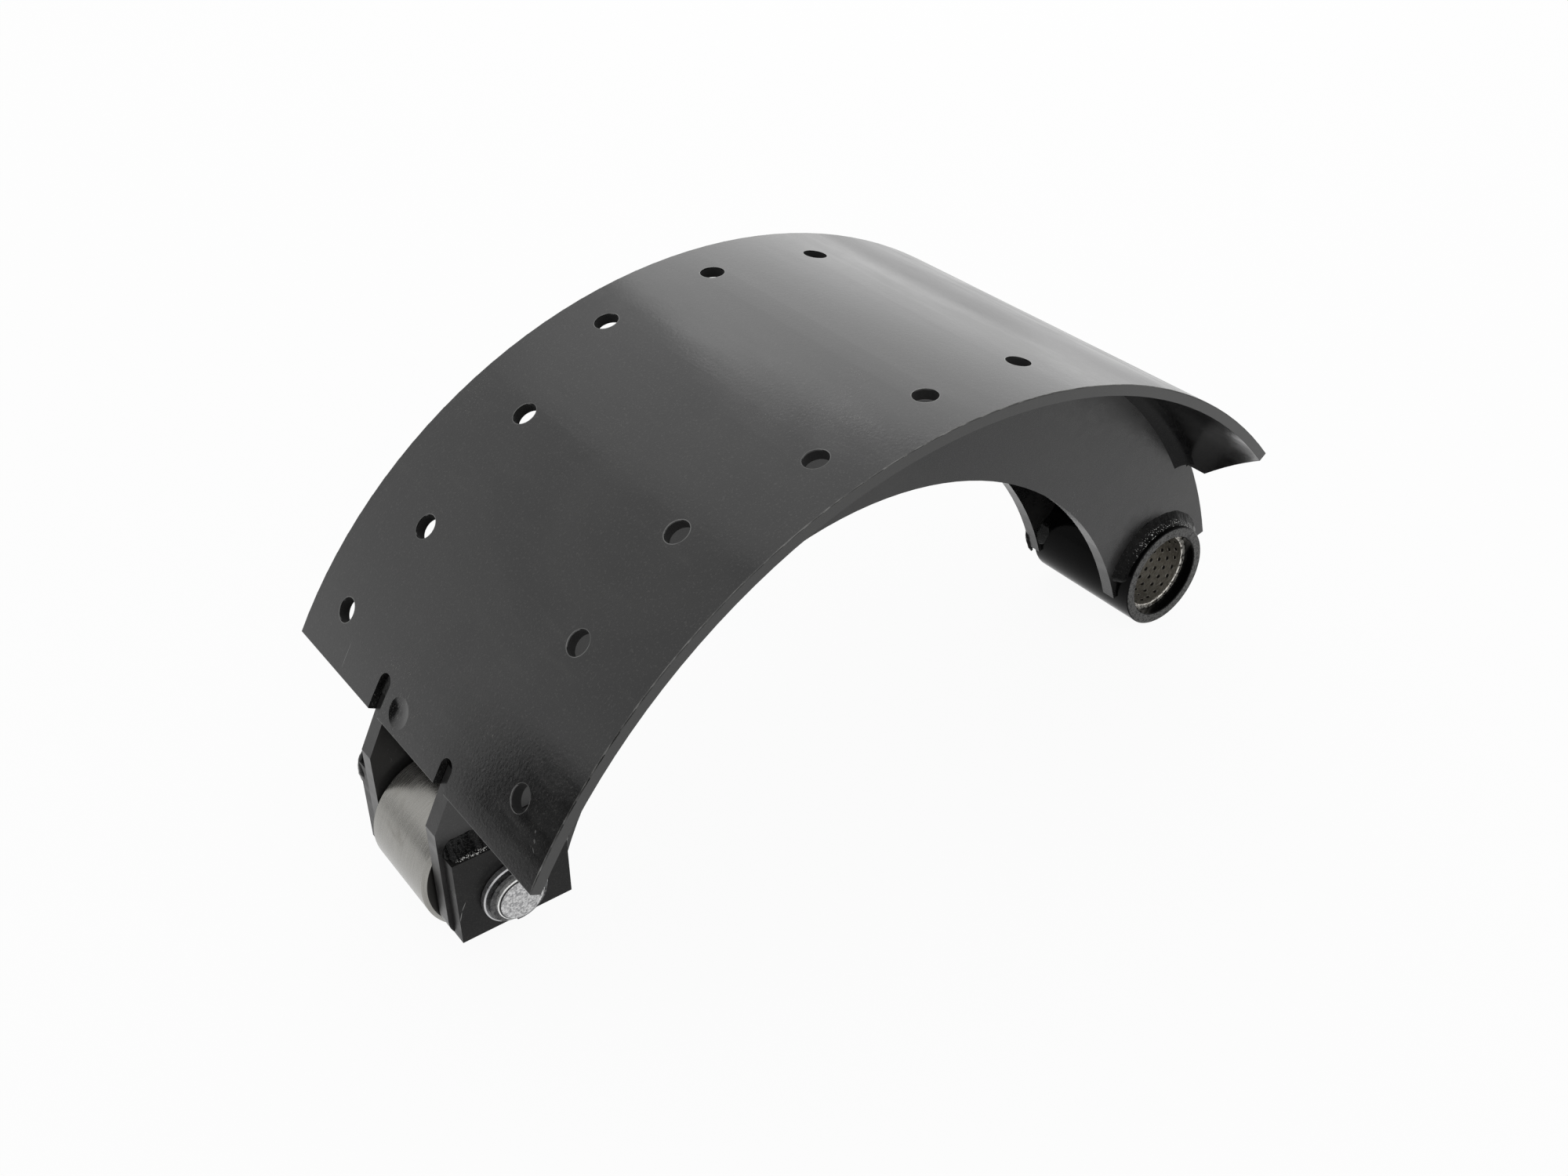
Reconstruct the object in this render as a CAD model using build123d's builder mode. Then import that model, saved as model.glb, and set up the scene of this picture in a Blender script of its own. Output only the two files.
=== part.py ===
from build123d import *
import math
import os

os.makedirs("parts", exist_ok=True)

# Brake shoe for a cam-operated drum brake, linings off, standing on its roller and its anchor tube.
# X runs from the roller end to the anchor end, Y lies along the drum axis, Z is up, all in mm.
# The origin is on the anchor bore's axis, in the middle of the table's width.

# where the drum axis and the roller lie
anchor_x = 150.2            # anchor bore from the drum axis, along X
anchor_z = 47.0             # anchor bore above the drum axis
roller_x = -151.5           # roller axis from the drum axis, along X
roller_z = 48.0             # roller axis above the drum axis

# table: the curved plate the linings are riveted to; angles run from straight up, positive to the anchor
table_outer = 190.0
table_thickness = 3.8
table_width = 153.7
roller_end_angle = -61.5
anchor_end_angle = 59.5
corner_cut = 42.0           # both legs of the 45 degree corner cuts, the long one along the curve
table_edge_radius = 0.4     # rounding of the outer edges

rivet_hole_radius = 4.25
rivet_row_angles = (-55.9, -42.6, -29.95, -17.0, -4.1, 8.6, 34.4)
rivet_half_spacings = (57.0, 43.7, 44.0, 57.3, 56.4, 53.0, 53.0)
odd_hole_lag = 1.7          # the second row's far hole was punched this many degrees early

slot_clearance = 0.2        # each side of a web's tab in its slot
near_slot_length = 10.0
far_slot_length = 14.0
dimple_radius = 5.4
dimple_depth = 0.6
dimple_arc = 7.4            # from the roller end along the curve
dimple_y = 9.5

# webs: the two plates under the table
web_thickness = 6.0
web_inner_y = 19.2          # inner face from the middle plane
tab_height = 1.2            # how far the web's tab rises into the slot
tail_rise = 2.3             # outer edge past the table's anchor end, above the table's underside
tail_start_angle = 60.1
tail_past_anchor = 0.5      # outer edge ends this many degrees past the anchor
arch_x = -1.8               # centre and radius of the inner edge, from the drum axis
arch_z = -2.5
pin_to_arch = 21.8          # pin's axis to the inner edge
tube_to_arch = 1.2          # web metal left between the tube and the inner edge
seat_end = 194.0            # where the web's tip leaves the tube, degrees from +X
nose_reach = 19.7           # front edge ahead of the pin's axis
nose_rise = 28.3            # bend of the front edge above the pin's axis
nose_drop = 16.0            # bottom edge below the pin's axis
nose_corner_radius = 8.0

# doublers welded on the webs round the roller pin
doubler_length = 38.0
doubler_height = 32.0
doubler_thickness = 5.8
far_doubler_lead = 1.1      # the far one sits this much further forward
pin_from_front = 18.3
pin_from_bottom = 12.7

# anchor tube and its bush
tube_radius = 22.5
tube_wall = 4.5
bush_wall = 2.0
tube_near_y = -31.85
tube_far_y = 23.6
tube_chamfer = 0.5
bush_near_y = -26.8
bush_far_y = 21.2
bush_chamfer = 0.4

# roller, pin, washers and circlips
roller_radius = 23.5
roller_length = 36.0
roller_chamfer_axial = 1.1
roller_chamfer_radial = 1.5
pin_radius = 8.0
pin_clearance = 0.05        # running fit, radial
pin_half_length = 37.0
pin_chamfer = 0.7
washer_radius = 11.0
washer_bore_gap = 0.2
washer_thickness = 2.5
washer_chamfer = 0.4
circlip_thickness = 1.5
circlip_outer = 9.8
groove_radius = 7.3
circlip_gap = 4.0
circlip_gap_angle = 250.0   # degrees from +X in the side view

# weld legs
table_weld_leg = 5.8
weld_hollow = 1.0           # how far the faces of the long beads are dished in
tube_weld_leg = 4.5
inner_weld_leg = 3.5
tube_weld_start = -70.0     # rotations of the tube's beads, from straight up toward the anchor end
far_tube_weld_start = -119.0
inner_weld_start = -95.0
inner_weld_end = -60.0
doubler_weld_leg = 5.2
side_weld_leg = 4.2
side_weld_length = 17.8     # bead down the doubler's inner end
side_weld_over = 0.8        # how far it runs above the doubler
far_cap_sink = 3.0          # far tube bead: reach inward over the tube's end
far_cap_height = 2.2        # and its height over the web
spatter_half_width = 5.0    # lump over the far doubler's top front corner
spatter_half_height = 8.8
spatter_rise = 5.3          # out from the doubler's face
spatter_lap = 4.0           # back over the doubler's top edge
spatter_from_front = 4.3    # its middle, behind the doubler's front edge
spatter_from_top = 5.3
plug_sink = 1.4             # slot weld below the table's outer face

# ---- values that follow from the sizes above
table_inner = table_outer - table_thickness
web_outer_y = web_inner_y + web_thickness
doubler_outer_y = web_outer_y + doubler_thickness
slot_radius = web_thickness / 2 + slot_clearance
web_mid_y = web_inner_y + web_thickness / 2
tail_radius = table_inner + tail_rise
tab_radius = table_inner + tab_height
doubler_left = roller_x - pin_from_front
doubler_right = doubler_left + doubler_length
doubler_bottom = roller_z - pin_from_bottom
doubler_top = doubler_bottom + doubler_height
groove_near = doubler_outer_y + washer_thickness
bush_outer = tube_radius - tube_wall
bush_inner = bush_outer - bush_wall
arch_radius = min(math.hypot(roller_x - arch_x, roller_z - arch_z) - pin_to_arch,
                  math.hypot(anchor_x - arch_x, anchor_z - arch_z) - tube_radius - tube_to_arch)
nose_x = roller_x - nose_reach
nose_bend_z = roller_z + nose_rise
nose_bottom_z = roller_z - nose_drop
tail_end_angle = math.degrees(math.atan2(anchor_x, anchor_z)) + tail_past_anchor
drum_centre = (-anchor_x, 0, -anchor_z)
drum_axis = Axis(drum_centre, (0, 1, 0))
anchor_axis = Axis((0, 0, 0), (0, 1, 0))

# side view seen from -Y with its zero on the drum axis
side = Plane(origin=drum_centre, x_dir=(1, 0, 0), z_dir=(0, -1, 0))
# the same view with its zero on the roller pin
pin_side = Plane(origin=(roller_x - anchor_x, 0, roller_z - anchor_z), x_dir=(1, 0, 0), z_dir=(0, -1, 0))
anchor_side = Plane(origin=(0, 0, 0), x_dir=(1, 0, 0), z_dir=(0, -1, 0))


def dished_section(corner, toe_a, toe_b):
    """Section of a fillet weld: its corner, its two toes and the dished face between them."""
    middle = ((toe_a[0] + toe_b[0]) / 2, (toe_a[1] + toe_b[1]) / 2)
    share = weld_hollow / math.dist(middle, corner)
    face = (middle[0] + (corner[0] - middle[0]) * share, middle[1] + (corner[1] - middle[1]) * share)
    with BuildSketch() as section:
        with BuildLine():
            ThreePointArc(toe_a, face, toe_b)
            Polyline(toe_b, corner, toe_a)
        make_face()
    return section.sketch


def polar(radius, angle):
    """Side-view point at this radius and angle from straight up."""
    return (radius * math.sin(math.radians(angle)), radius * math.cos(math.radians(angle)))


def curve(radius, start, end):
    """Side-view arc about the drum axis."""
    return ThreePointArc(polar(radius, start), polar(radius, (start + end) / 2), polar(radius, end))


def tangent_plane(angle, radius):
    """Plane lying on the drum cylinder: x along the curve, y along the axis, z outward."""
    x, z = polar(radius, angle)
    a = math.radians(angle)
    return Plane(origin=(drum_centre[0] + x, 0, drum_centre[2] + z),
                 x_dir=(math.cos(a), 0, -math.sin(a)), z_dir=(math.sin(a), 0, math.cos(a)))


def section_plane(centre, angle):
    """Half section through an axis along Y: x is the axial place, y the radius."""
    a = math.radians(angle)
    return Plane(origin=centre, x_dir=(0, 1, 0), z_dir=(math.cos(a), 0, -math.sin(a)))


def arc_degrees(length):
    """Angle taken by a length measured on the table's outer face."""
    return math.degrees(length / table_outer)


# ---- table
cut_mid_angle = anchor_end_angle - arc_degrees(corner_cut / 2)
with BuildPart() as table:
    with BuildSketch(side):
        with BuildLine():
            curve(table_outer, roller_end_angle, anchor_end_angle)
            Line(polar(table_outer, anchor_end_angle), polar(table_inner, anchor_end_angle))
            curve(table_inner, anchor_end_angle, roller_end_angle)
            Line(polar(table_inner, roller_end_angle), polar(table_outer, roller_end_angle))
        make_face()
    extrude(amount=table_width / 2, both=True)
    # corners cut off at the anchor end, square to the plate
    half = corner_cut / 2
    reach = 12.0
    with BuildSketch(tangent_plane(cut_mid_angle, table_outer)):
        for s in (1, -1):
            Polygon((-half - reach, s * (table_width / 2 + reach)),
                    (half + reach, s * (table_width / 2 - corner_cut - reach)),
                    (half + 4 * reach, s * (table_width / 2 - corner_cut - reach)),
                    (half + 4 * reach, s * (table_width / 2 + reach)), align=None)
    extrude(amount=5 * table_thickness, both=True, mode=Mode.SUBTRACT)
    outer_face = table.faces().filter_by(GeomType.CYLINDER).sort_by(SortBy.AREA)[-1]
    fillet(outer_face.edges(), radius=table_edge_radius)
    # rivet holes, square to the curve
    for row, (angle, half_y) in enumerate(zip(rivet_row_angles, rivet_half_spacings)):
        far_angle = angle - odd_hole_lag if row == 1 else angle
        near_spot = tangent_plane(angle, table_outer + 1).location * Pos(0, -half_y, 0)
        far_spot = tangent_plane(far_angle, table_outer + 1).location * Pos(0, half_y, 0)
        with Locations(near_spot, far_spot):
            Hole(radius=rivet_hole_radius, depth=table_thickness + 3)
    # open slots over the webs at the roller end
    with BuildSketch(tangent_plane(roller_end_angle, table_outer)):
        for y, length in ((-web_mid_y, near_slot_length), (web_mid_y, far_slot_length)):
            straight = length - slot_radius
            with Locations(((straight - 4) / 2, y)):
                Rectangle(straight + 4, 2 * slot_radius)
            with Locations((straight, y)):
                Circle(slot_radius)
    extrude(amount=2 * table_thickness, both=True, mode=Mode.SUBTRACT)
    # shallow punched dimple by the slots
    ball = (dimple_radius ** 2 + dimple_depth ** 2) / (2 * dimple_depth)
    dimple_angle = roller_end_angle + arc_degrees(dimple_arc)
    with Locations(tangent_plane(dimple_angle, table_outer + ball - dimple_depth).location
                   * Pos(0, dimple_y, 0)):
        Sphere(radius=ball, mode=Mode.SUBTRACT)
table.part.label = "table"
export_step(table.part, "parts/table.step")


def web_face(tab_length):
    """Web outline in the side view, drum axis at zero."""
    tab_end = roller_end_angle + arc_degrees(tab_length)
    tail_corner = polar(tail_radius, tail_end_angle)
    tip = (anchor_x + 2 * tube_radius * math.cos(math.radians(seat_end)),
           anchor_z + 2 * tube_radius * math.sin(math.radians(seat_end)))
    with BuildSketch(Plane.XY) as face:
        with BuildLine():
            curve(tab_radius, roller_end_angle, tab_end)
            Line(polar(tab_radius, tab_end), polar(table_inner, tab_end))
            curve(table_inner, tab_end, tail_start_angle)
            Line(polar(table_inner, tail_start_angle), polar(tail_radius, tail_start_angle))
            curve(tail_radius, tail_start_angle, tail_end_angle)
            Polyline(tail_corner, (anchor_x, anchor_z), tip, (0, nose_bottom_z),
                     (nose_x, nose_bottom_z), (nose_x, nose_bend_z), polar(tab_radius, roller_end_angle))
        make_face()
        with Locations((arch_x, arch_z)):
            Circle(arch_radius, mode=Mode.SUBTRACT)
        with Locations((anchor_x, anchor_z)):
            Circle(tube_radius, mode=Mode.SUBTRACT)
        with Locations((roller_x, roller_z)):
            Circle(pin_radius, mode=Mode.SUBTRACT)
        corner = face.vertices().sort_by_distance((nose_x, nose_bottom_z, 0))[0]
        fillet(corner, radius=nose_corner_radius)
    return face.sketch


# ---- webs, near one on -Y, far one on +Y; each carries a tab standing in its slot
near_tab_length = near_slot_length - slot_radius - slot_clearance
far_tab_length = far_slot_length - slot_radius - slot_clearance
with BuildPart() as web_near:
    with BuildSketch(side.offset(web_inner_y)):
        add(web_face(near_tab_length))
    extrude(amount=web_thickness)
web_near.part.label = "web_near"
export_step(web_near.part, "parts/web_near.step")

with BuildPart() as web_far:
    with BuildSketch(side.offset(-web_outer_y)):
        add(web_face(far_tab_length))
    extrude(amount=web_thickness)
web_far.part.label = "web_far"
export_step(web_far.part, "parts/web_far.step")

# ---- doublers on the webs' outer faces
doubler_centre = ((doubler_left + doubler_right) / 2, (doubler_bottom + doubler_top) / 2)
with BuildPart() as doubler_near:
    with BuildSketch(side.offset(web_outer_y)):
        with Locations(doubler_centre):
            Rectangle(doubler_length, doubler_height)
        with Locations((roller_x, roller_z)):
            Circle(pin_radius, mode=Mode.SUBTRACT)
    extrude(amount=doubler_thickness)
doubler_near.part.label = "doubler_near"
export_step(doubler_near.part, "parts/doubler_near.step")

with BuildPart() as doubler_far:
    with BuildSketch(side.offset(-doubler_outer_y)):
        with Locations((doubler_centre[0] - far_doubler_lead, doubler_centre[1])):
            Rectangle(doubler_length, doubler_height)
        with Locations((roller_x, roller_z)):
            Circle(pin_radius, mode=Mode.SUBTRACT)
    extrude(amount=doubler_thickness)
doubler_far.part.label = "doubler_far"
export_step(doubler_far.part, "parts/doubler_far.step")

# ---- anchor tube, proud of the near web and just inside the far web's outer face
with BuildPart() as anchor_tube:
    with BuildSketch(anchor_side.offset(-tube_far_y)):
        Circle(tube_radius)
        Circle(bush_outer, mode=Mode.SUBTRACT)
    extrude(amount=tube_far_y - tube_near_y)
    chamfer(anchor_tube.edges().filter_by(GeomType.CIRCLE), length=tube_chamfer)
anchor_tube.part.label = "anchor_tube"
export_step(anchor_tube.part, "parts/anchor_tube.step")

# bush pressed into the tube, set back from the near end
with BuildPart() as anchor_bush:
    with BuildSketch(anchor_side.offset(-bush_far_y)):
        Circle(bush_outer)
        Circle(bush_inner, mode=Mode.SUBTRACT)
    extrude(amount=bush_far_y - bush_near_y)
    rims = anchor_bush.edges().filter_by(GeomType.CIRCLE).filter_by(lambda e: abs(e.radius - bush_inner) < 0.01)
    chamfer(rims, length=bush_chamfer)
anchor_bush.part.label = "anchor_bush"
export_step(anchor_bush.part, "parts/anchor_bush.step")

# ---- roller between the webs
with BuildPart() as roller:
    with BuildSketch(section_plane(pin_side.origin, 0)):
        with BuildLine():
            full = roller_length / 2 - roller_chamfer_axial
            Polyline((-roller_length / 2, pin_radius + pin_clearance),
                     (-roller_length / 2, roller_radius - roller_chamfer_radial),
                     (-full, roller_radius), (full, roller_radius),
                     (roller_length / 2, roller_radius - roller_chamfer_radial),
                     (roller_length / 2, pin_radius + pin_clearance), close=True)
        make_face()
    revolve(axis=Axis(pin_side.origin, (0, 1, 0)))
roller.part.label = "roller"
export_step(roller.part, "parts/roller.step")

# pin through both webs, with a circlip groove near each end
with BuildPart() as roller_pin:
    with BuildSketch(section_plane(pin_side.origin, 0)):
        with BuildLine():
            groove_out = groove_near + circlip_thickness
            end = pin_half_length
            Polyline((-end, 0), (-end, pin_radius - pin_chamfer), (-end + pin_chamfer, pin_radius),
                     (-groove_out, pin_radius), (-groove_out, groove_radius),
                     (-groove_near, groove_radius), (-groove_near, pin_radius),
                     (groove_near, pin_radius), (groove_near, groove_radius),
                     (groove_out, groove_radius), (groove_out, pin_radius),
                     (end - pin_chamfer, pin_radius), (end, pin_radius - pin_chamfer), (end, 0), close=True)
        make_face()
    revolve(axis=Axis(pin_side.origin, (0, 1, 0)))
roller_pin.part.label = "roller_pin"
export_step(roller_pin.part, "parts/roller_pin.step")


def ring_sketch(outer, inner, gap):
    """Flat ring, open over the gap's width when it has one."""
    with BuildSketch(Plane.XY) as ring:
        Circle(outer)
        Circle(inner, mode=Mode.SUBTRACT)
        if gap > 0:
            a = math.radians(circlip_gap_angle)
            with Locations(Location((outer * math.cos(a), outer * math.sin(a), 0), (0, 0, circlip_gap_angle))):
                Rectangle(2 * outer, gap, mode=Mode.SUBTRACT)
    return ring.sketch


# washers against the doublers, circlips in the pin's grooves
with BuildPart() as washer_near:
    with BuildSketch(pin_side.offset(doubler_outer_y)):
        add(ring_sketch(washer_radius, pin_radius + washer_bore_gap, 0))
    extrude(amount=washer_thickness)
    rims = washer_near.edges().filter_by(GeomType.CIRCLE).filter_by(lambda e: abs(e.radius - washer_radius) < 0.01)
    chamfer(rims, length=washer_chamfer)
washer_near.part.label = "washer_near"
export_step(washer_near.part, "parts/washer_near.step")

with BuildPart() as washer_far:
    with BuildSketch(pin_side.offset(-groove_near)):
        add(ring_sketch(washer_radius, pin_radius + washer_bore_gap, 0))
    extrude(amount=washer_thickness)
    rims = washer_far.edges().filter_by(GeomType.CIRCLE).filter_by(lambda e: abs(e.radius - washer_radius) < 0.01)
    chamfer(rims, length=washer_chamfer)
washer_far.part.label = "washer_far"
export_step(washer_far.part, "parts/washer_far.step")

with BuildPart() as circlip_near:
    with BuildSketch(pin_side.offset(groove_near)):
        add(ring_sketch(circlip_outer, groove_radius, circlip_gap))
    extrude(amount=circlip_thickness)
circlip_near.part.label = "circlip_near"
export_step(circlip_near.part, "parts/circlip_near.step")

with BuildPart() as circlip_far:
    with BuildSketch(pin_side.offset(-groove_near - circlip_thickness)):
        add(ring_sketch(circlip_outer, groove_radius, circlip_gap))
    extrude(amount=circlip_thickness)
circlip_far.part.label = "circlip_far"
export_step(circlip_far.part, "parts/circlip_far.step")

# ---- welds: fillet beads between the webs' outer faces and the table
weld_start = roller_end_angle + 1.0
weld_sweep = anchor_end_angle - 1.0 - weld_start
with BuildPart() as weld_table_near:
    with BuildSketch(section_plane(drum_centre, weld_start)):
        add(dished_section((-web_outer_y, table_inner), (-web_outer_y - table_weld_leg, table_inner),
                           (-web_outer_y, table_inner - table_weld_leg)))
    revolve(axis=drum_axis, revolution_arc=weld_sweep)
weld_table_near.part.label = "weld_table_near"
export_step(weld_table_near.part, "parts/weld_table_near.step")

with BuildPart() as weld_table_far:
    with BuildSketch(section_plane(drum_centre, weld_start)):
        add(dished_section((web_outer_y, table_inner), (web_outer_y, table_inner - table_weld_leg),
                           (web_outer_y + table_weld_leg, table_inner)))
    revolve(axis=drum_axis, revolution_arc=weld_sweep)
weld_table_far.part.label = "weld_table_far"
export_step(weld_table_far.part, "parts/weld_table_far.step")

# beads round the top of the anchor tube
tail_x, tail_z = polar(tail_radius, tail_end_angle)
seat_right = 90 - math.degrees(math.atan2(tail_z - anchor_z, tail_x - anchor_x))
with BuildPart() as weld_tube_near:
    with BuildSketch(section_plane((0, 0, 0), tube_weld_start)):
        add(dished_section((-web_outer_y, tube_radius), (-web_outer_y - tube_weld_leg, tube_radius),
                           (-web_outer_y, tube_radius + tube_weld_leg)))
    revolve(axis=anchor_axis, revolution_arc=seat_right - tube_weld_start)
weld_tube_near.part.label = "weld_tube_near"
export_step(weld_tube_near.part, "parts/weld_tube_near.step")

with BuildPart() as weld_tube_far:
    with BuildSketch(section_plane((0, 0, 0), far_tube_weld_start)):
        Polygon((tube_far_y, tube_radius - far_cap_sink), (web_outer_y, tube_radius - 0.8 * far_cap_sink),
                (web_outer_y + far_cap_height, tube_radius), (web_outer_y, tube_radius + tube_weld_leg),
                (web_outer_y, tube_radius), (tube_far_y, tube_radius), align=None)
    revolve(axis=anchor_axis, revolution_arc=seat_right - far_tube_weld_start)
    add(anchor_tube.part, mode=Mode.SUBTRACT)
weld_tube_far.part.label = "weld_tube_far"
export_step(weld_tube_far.part, "parts/weld_tube_far.step")

with BuildPart() as weld_tube_inner:
    with BuildSketch(section_plane((0, 0, 0), inner_weld_start)):
        Polygon((web_inner_y, tube_radius), (web_inner_y, tube_radius + inner_weld_leg),
                (web_inner_y - inner_weld_leg, tube_radius), align=None)
    revolve(axis=anchor_axis, revolution_arc=inner_weld_end - inner_weld_start)
weld_tube_inner.part.label = "weld_tube_inner"
export_step(weld_tube_inner.part, "parts/weld_tube_inner.step")

# beads along the doublers' top edges and down their inner ends
bead_top = doubler_top + side_weld_over
bead_bottom = bead_top - side_weld_length
with BuildPart() as weld_doubler_near:
    with BuildSketch(section_plane((doubler_left - anchor_x, 0, -anchor_z), 0)):
        Polygon((-web_outer_y, doubler_top), (-web_outer_y - doubler_weld_leg, doubler_top),
                (-web_outer_y, doubler_top + doubler_weld_leg), align=None)
    extrude(amount=doubler_length)
    with BuildSketch(Plane.XY.offset(bead_bottom - anchor_z)):
        Polygon((doubler_right - anchor_x, -web_outer_y),
                (doubler_right - anchor_x, -web_outer_y - side_weld_leg),
                (doubler_right - anchor_x + side_weld_leg, -web_outer_y), align=None)
    extrude(amount=side_weld_length)
weld_doubler_near.part.label = "weld_doubler_near"
export_step(weld_doubler_near.part, "parts/weld_doubler_near.step")

# the far doubler has the same beads and a lump of spatter over its top front corner
far_doubler_right = doubler_right - far_doubler_lead
spatter_x = doubler_left - far_doubler_lead + spatter_from_front
spatter_z = doubler_top - spatter_from_top
spatter_foot = (spatter_x, spatter_z - spatter_half_height)
spatter_head = (spatter_x, spatter_z + spatter_half_height)
with BuildPart() as spatter:
    with BuildSketch(side.offset(-doubler_outer_y - spatter_rise)):
        with BuildLine():
            ThreePointArc(spatter_foot, (spatter_x - spatter_half_width, spatter_z), spatter_head)
            ThreePointArc(spatter_head, (spatter_x + spatter_half_width, spatter_z), spatter_foot)
        make_face()
    extrude(amount=spatter_rise + spatter_lap)
    with BuildSketch(side.offset(-doubler_outer_y)):
        with Locations((doubler_centre[0] - far_doubler_lead, doubler_centre[1])):
            Rectangle(doubler_length, doubler_height)
    extrude(amount=doubler_thickness, mode=Mode.SUBTRACT)

with BuildPart() as weld_doubler_far:
    with BuildSketch(section_plane((doubler_left - far_doubler_lead - anchor_x, 0, -anchor_z), 0)):
        Polygon((web_outer_y, doubler_top), (web_outer_y, doubler_top + doubler_weld_leg),
                (web_outer_y + doubler_weld_leg, doubler_top), align=None)
    extrude(amount=doubler_length)
    add(spatter.part)
    with BuildSketch(Plane.XY.offset(bead_bottom - anchor_z)):
        Polygon((far_doubler_right - anchor_x, web_outer_y),
                (far_doubler_right - anchor_x + side_weld_leg, web_outer_y),
                (far_doubler_right - anchor_x, web_outer_y + side_weld_leg), align=None)
    extrude(amount=side_weld_length)
weld_doubler_far.part.label = "weld_doubler_far"
export_step(weld_doubler_far.part, "parts/weld_doubler_far.step")

# plug weld closing the inner half of the far slot, over the web's tab
plug_start = roller_end_angle + arc_degrees(far_slot_length / 2)
plug_end = roller_end_angle + arc_degrees(far_slot_length) + 0.5
with BuildPart() as weld_slot_far:
    with BuildSketch(side.offset(-web_mid_y)):
        with BuildLine():
            curve(table_inner, plug_start, plug_end)
            Line(polar(table_inner, plug_end), polar(table_outer - plug_sink, plug_end))
            curve(table_outer - plug_sink, plug_end, plug_start)
            Line(polar(table_outer - plug_sink, plug_start), polar(table_inner, plug_start))
        make_face()
    extrude(amount=slot_radius, both=True)
    with BuildSketch(tangent_plane(roller_end_angle, table_outer)):
        straight = far_slot_length - slot_radius
        with Locations((straight / 2, web_mid_y)):
            Rectangle(straight, 2 * slot_radius)
        with Locations((straight, web_mid_y)):
            Circle(slot_radius)
    extrude(amount=2 * table_thickness, both=True, mode=Mode.INTERSECT)
    add(web_far.part, mode=Mode.SUBTRACT)
weld_slot_far.part.label = "weld_slot_far"
export_step(weld_slot_far.part, "parts/weld_slot_far.step")
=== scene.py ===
import math
import bmesh
import bpy
import numpy as np
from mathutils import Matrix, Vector


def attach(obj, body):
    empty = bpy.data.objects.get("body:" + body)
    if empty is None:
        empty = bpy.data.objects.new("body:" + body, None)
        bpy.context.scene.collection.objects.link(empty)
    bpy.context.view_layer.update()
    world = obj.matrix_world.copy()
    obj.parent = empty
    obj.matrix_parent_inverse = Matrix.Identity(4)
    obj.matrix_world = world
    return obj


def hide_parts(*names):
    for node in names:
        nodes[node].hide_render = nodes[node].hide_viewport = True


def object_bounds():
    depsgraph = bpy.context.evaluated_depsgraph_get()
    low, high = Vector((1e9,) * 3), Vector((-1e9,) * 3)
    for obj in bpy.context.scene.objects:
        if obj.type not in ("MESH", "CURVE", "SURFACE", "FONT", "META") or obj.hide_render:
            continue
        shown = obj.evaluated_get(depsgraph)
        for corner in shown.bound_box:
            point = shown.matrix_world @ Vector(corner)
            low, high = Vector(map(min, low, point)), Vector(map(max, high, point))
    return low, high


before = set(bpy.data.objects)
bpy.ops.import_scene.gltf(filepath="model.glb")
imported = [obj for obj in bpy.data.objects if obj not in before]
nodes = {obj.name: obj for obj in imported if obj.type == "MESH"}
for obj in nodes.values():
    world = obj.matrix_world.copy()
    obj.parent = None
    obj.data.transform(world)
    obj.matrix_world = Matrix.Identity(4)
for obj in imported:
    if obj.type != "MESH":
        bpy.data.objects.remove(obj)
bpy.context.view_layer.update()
mm = 0.001
white = (1, 1, 1, 1)
print("frame loaded,", len(nodes), "nodes")

# where the shoe is looked at from: place in metres, turn in degrees about X, Y and Z
cameraSettings = {"place": (-448.25 * mm, -369.1 * mm, 356.41 * mm), "turn": (56.16, -2.76, -40.24),
                  "lens": 35.94, "sensor": 36.0, "shiftX": -0.07995, "shiftY": -0.00155, "nearest": 0.01,
                  "farthest": 20.0}


# camera with these settings, which the scene then looks through
def addCamera(settings):
    data = bpy.data.cameras.new("benchCamera")
    data.lens = settings["lens"]
    data.sensor_width = settings["sensor"]
    data.sensor_fit = "HORIZONTAL"
    data.shift_x = settings["shiftX"]
    data.shift_y = settings["shiftY"]
    data.clip_start = settings["nearest"]
    data.clip_end = settings["farthest"]
    camera = bpy.data.objects.new("benchCamera", data)
    camera.location = settings["place"]
    camera.rotation_euler = [math.radians(a) for a in settings["turn"]]
    bpy.context.collection.objects.link(camera)
    bpy.context.scene.camera = camera


addCamera(cameraSettings)


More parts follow.
